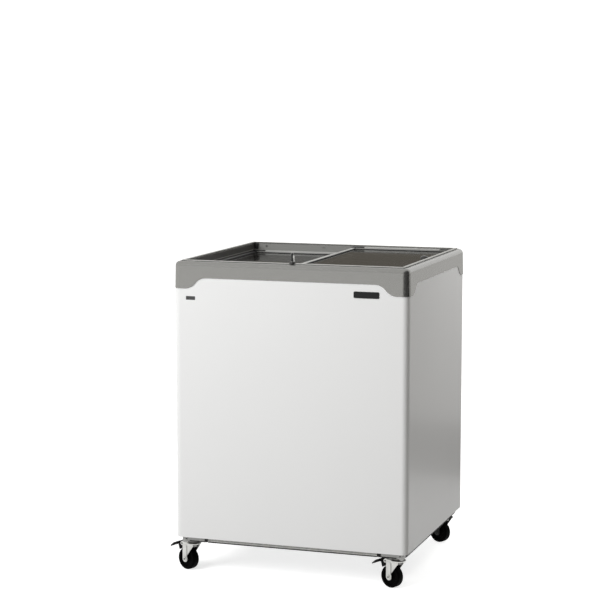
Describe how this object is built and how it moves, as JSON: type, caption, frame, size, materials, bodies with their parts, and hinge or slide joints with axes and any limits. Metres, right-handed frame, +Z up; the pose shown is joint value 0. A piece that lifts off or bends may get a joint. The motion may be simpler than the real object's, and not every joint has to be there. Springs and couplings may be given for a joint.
{
  "type": "ice cream freezer",
  "caption": "Standing chest freezer with two flat sliding glass lids in a grey moulded rim with corner skirts, a key lock on the rim and swivel castors, the front ones with brake pedals.",
  "frame": {"origin": "on the floor under the centre of the cabinet", "axes": "+Z up, the front faces -Y, +X to the right as seen from the front"},
  "size_m": [0.75, 0.6592, 0.9522],
  "materials": {
    "cabinet_white": "gloss",
    "rear_galvanised": "satin",
    "foam": "matte",
    "liner": "satin",
    "copper": "satin",
    "rim_grey": "satin",
    "track_grey": "satin",
    "black_rubber": "matte",
    "lock_collar": "satin",
    "lock_chrome": "polished",
    "lock_plug": "satin",
    "key_black": "gloss",
    "compressor_black": "gloss",
    "control_black": "matte",
    "drain_grey": "satin",
    "plug_white": "matte",
    "rail_steel": "satin",
    "bracket_zinc": "satin",
    "nickel": "satin",
    "tyre_black": "satin",
    "pedal_black": "gloss",
    "lid_glass": "polished",
    "lid_bars": "satin",
    "shoe_black": "satin",
    "grip_grey": "satin"
  },
  "bodies": {
    "cabinet": {"outer_shell": "cabinet_white", "rear_panel": "rear_galvanised", "base_pan": "rear_galvanised", "foam_core": "foam", "inner_liner": "liner", "evaporator_coil": "copper", "top_frame": "rim_grey", "front_track": "track_grey", "rear_track": "track_grey", "end_rails": "shoe_black", "lid_stops": "black_rubber", "lock_housing": "lock_collar", "compressor": "compressor_black", "compressor_feet": "black_rubber", "filter_drier": "copper", "thermostat_plate": "control_black", "cord_gland": "black_rubber", "drain_tube": "drain_grey", "front_rail": "rail_steel", "rear_rail": "rail_steel", "left_rail": "rail_steel", "right_rail": "rail_steel", "castor_brackets": "bracket_zinc", "castor_bolts": "bracket_zinc", "castor_fl_head": "nickel", "castor_fr_head": "nickel", "castor_rl_head": "nickel", "castor_rr_head": "nickel"},
    "left_lid": {"left_lid_glass": "lid_glass", "left_lid_front_bar": "lid_bars", "left_lid_rear_bar": "lid_bars", "left_lid_outer_bar": "shoe_black", "left_lid_inner_bar": "lid_bars", "left_lid_shoes": "shoe_black"},
    "right_lid": {"right_lid_glass": "lid_glass", "right_lid_front_bar": "lid_bars", "right_lid_rear_bar": "lid_bars", "right_lid_outer_bar": "shoe_black", "right_lid_inner_bar": "lid_bars", "right_lid_shoes": "shoe_black", "right_lid_grip": "grip_grey"},
    "lock": {"lock_plug": "lock_plug", "lock_key": "key_black", "spare_key": "lock_chrome"},
    "knob": {"thermostat_knob": "control_black"},
    "plug": {"drain_plug": "plug_white"},
    "swivel_fl": {"castor_fl_fork": "nickel", "castor_fl_axle": "nickel"},
    "wheel_fl": {"castor_fl_wheel": "tyre_black"},
    "swivel_fr": {"castor_fr_fork": "nickel", "castor_fr_axle": "nickel"},
    "wheel_fr": {"castor_fr_wheel": "tyre_black"},
    "swivel_rl": {"castor_rl_fork": "nickel", "castor_rl_axle": "nickel"},
    "wheel_rl": {"castor_rl_wheel": "tyre_black"},
    "swivel_rr": {"castor_rr_fork": "nickel", "castor_rr_axle": "nickel"},
    "wheel_rr": {"castor_rr_wheel": "tyre_black"},
    "brake_fl": {"castor_fl_pedal": "pedal_black"},
    "brake_fr": {"castor_fr_pedal": "pedal_black"}
  },
  "joints": [
    {"name": "left_lid_slide", "type": "slide", "parent": "cabinet", "child": "left_lid", "axis": [1, 0, 0], "range_m": [0, 0.294]},
    {"name": "right_lid_slide", "type": "slide", "parent": "cabinet", "child": "right_lid", "axis": [1, 0, 0], "range_m": [-0.314, 0]},
    {"name": "lock_turn", "type": "hinge", "parent": "cabinet", "child": "lock", "pos_m": [0.004, -0.301, 0.921], "axis": [0, 0, 1], "range_deg": [0, 90]},
    {"name": "thermostat_turn", "type": "hinge", "parent": "cabinet", "child": "knob", "pos_m": [0.091, 0.325, 0.289], "axis": [0, 1, 0], "range_deg": [0, 270]},
    {"name": "drain_plug_pull", "type": "slide", "parent": "cabinet", "child": "plug", "axis": [0, 0, 1], "range_m": [0, 0.02]},
    {"name": "swivel_fl_turn", "type": "hinge", "parent": "cabinet", "child": "swivel_fl", "pos_m": [-0.312, -0.274, 0.093], "axis": [0, 0, 1], "continuous": true},
    {"name": "wheel_fl_spin", "type": "hinge", "parent": "swivel_fl", "child": "wheel_fl", "pos_m": [-0.33225, -0.2654, 0.0325], "axis": [-0.3907, -0.9205, 0], "continuous": true},
    {"name": "swivel_fr_turn", "type": "hinge", "parent": "cabinet", "child": "swivel_fr", "pos_m": [0.312, -0.274, 0.093], "axis": [0, 0, 1], "continuous": true},
    {"name": "wheel_fr_spin", "type": "hinge", "parent": "swivel_fr", "child": "wheel_fr", "pos_m": [0.29175, -0.2654, 0.0325], "axis": [-0.3907, -0.9205, 0], "continuous": true},
    {"name": "swivel_rl_turn", "type": "hinge", "parent": "cabinet", "child": "swivel_rl", "pos_m": [-0.312, 0.274, 0.093], "axis": [0, 0, 1], "continuous": true},
    {"name": "wheel_rl_spin", "type": "hinge", "parent": "swivel_rl", "child": "wheel_rl", "pos_m": [-0.33225, 0.2826, 0.0325], "axis": [-0.3907, -0.9205, 0], "continuous": true},
    {"name": "swivel_rr_turn", "type": "hinge", "parent": "cabinet", "child": "swivel_rr", "pos_m": [0.312, 0.274, 0.093], "axis": [0, 0, 1], "continuous": true},
    {"name": "wheel_rr_spin", "type": "hinge", "parent": "swivel_rr", "child": "wheel_rr", "pos_m": [0.29175, 0.2826, 0.0325], "axis": [-0.3907, -0.9205, 0], "continuous": true},
    {"name": "brake_fl_press", "type": "hinge", "parent": "swivel_fl", "child": "brake_fl", "pos_m": [-0.3479, -0.25876, 0.076], "axis": [-0.3907, -0.9205, 0], "range_deg": [0, 8]},
    {"name": "brake_fr_press", "type": "hinge", "parent": "swivel_fr", "child": "brake_fr", "pos_m": [0.2761, -0.25876, 0.076], "axis": [-0.3907, -0.9205, 0], "range_deg": [0, 8]}
  ]
}
